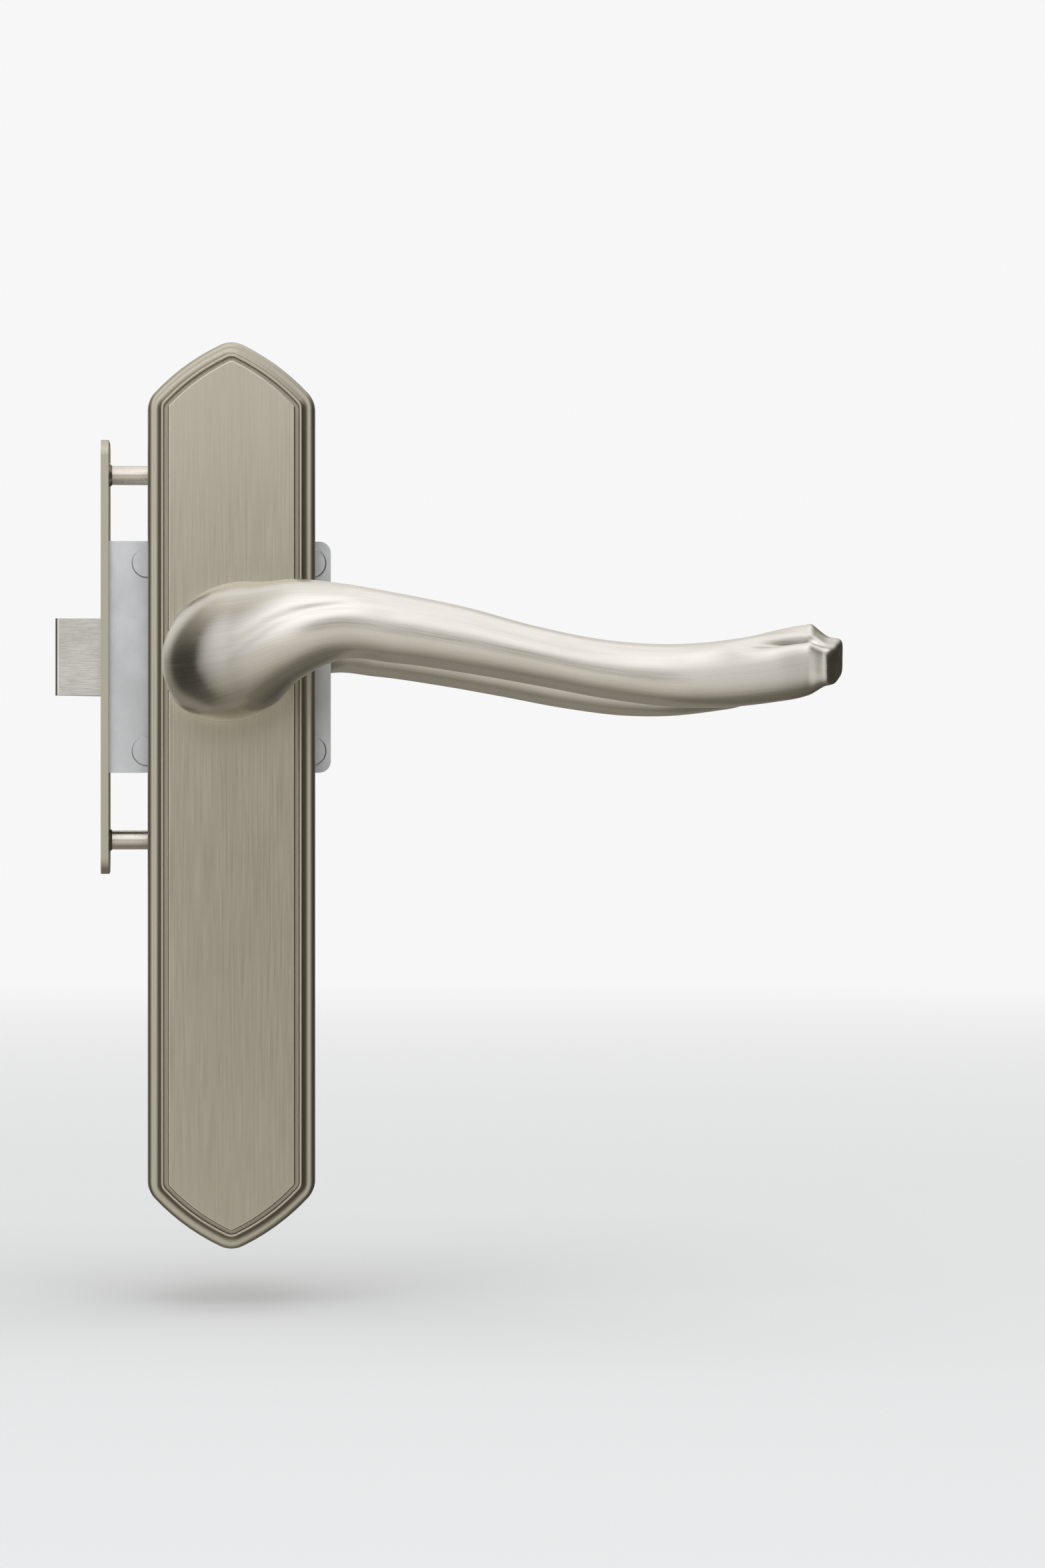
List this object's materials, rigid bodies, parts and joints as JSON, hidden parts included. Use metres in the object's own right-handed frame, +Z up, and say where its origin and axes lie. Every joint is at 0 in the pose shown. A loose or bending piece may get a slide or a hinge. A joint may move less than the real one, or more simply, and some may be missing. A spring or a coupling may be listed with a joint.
{
  "type": "storm door latch set",
  "caption": "Storm door latch set: long pointed backplates, two wave-shaped lever handles on a square spindle, and a mortise latch with a bevelled spring bolt.",
  "frame": {"origin": "on the spindle axis, in the plane of the door's outside face, which is the outside plate's back rim", "axes": "+Y from outside through the door to the inside, +Z up, +X along the levers; the latch bolt points to -X"},
  "size_m": [0.1583, 0.1354, 0.186],
  "materials": {
    "satin_nickel": "satin brushed nickel on a zinc casting",
    "nickel_screws": "nickel plated",
    "nylon": "natural nylon",
    "spring_steel": "oiled spring steel",
    "zinc_steel": "zinc plated",
    "nickel_bolt": "nickel plated, satin"
  },
  "bodies": {
    "door_trim": {"outside_plate": "satin_nickel", "outside_bush": "nylon", "outside_return_spring": "spring_steel", "inside_plate": "satin_nickel", "inside_bush": "nylon", "inside_return_spring": "spring_steel", "through_bolts": "nickel_screws", "bolt_posts": "zinc_steel", "latch_case": "zinc_steel", "case_cover": "zinc_steel", "case_rivets": "zinc_steel", "faceplate": "nickel_bolt", "faceplate_screws": "nickel_screws", "case_screws": "nickel_screws", "latch_spring": "spring_steel", "spring_guide_pin": "zinc_steel", "spring_post": "zinc_steel"},
    "levers": {"outside_lever": "satin_nickel", "outside_cam_plate": "spring_steel", "outside_retaining_ring": "spring_steel", "inside_lever": "satin_nickel", "inside_cam_plate": "spring_steel", "inside_retaining_ring": "spring_steel", "spindle": "zinc_steel", "lever_set_screw": "spring_steel", "hub": "zinc_steel"},
    "bolt": {"latch_bolt": "nickel_bolt", "bolt_tail": "zinc_steel"}
  },
  "joints": [
    {"name": "lever_turn", "type": "hinge", "parent": "door_trim", "child": "levers", "pos_m": [0, 0, 0], "axis": [0, 1, 0], "range_deg": [0, 40], "stiffness_Nm_per_rad": 1.5, "springref_deg": -20.05, "deforming": ["outside_return_spring", "inside_return_spring"]},
    {"name": "bolt_slide", "type": "slide", "parent": "door_trim", "child": "bolt", "axis": [1, 0, 0], "range_m": [0, 0.0095], "stiffness_N_per_m": 300, "springref_m": -0.012, "deforming": ["latch_spring"]}
  ],
  "couplings": [
    {"joint": "bolt_slide", "follows": "lever_turn", "m_per_rad": 0.0136}
  ]
}
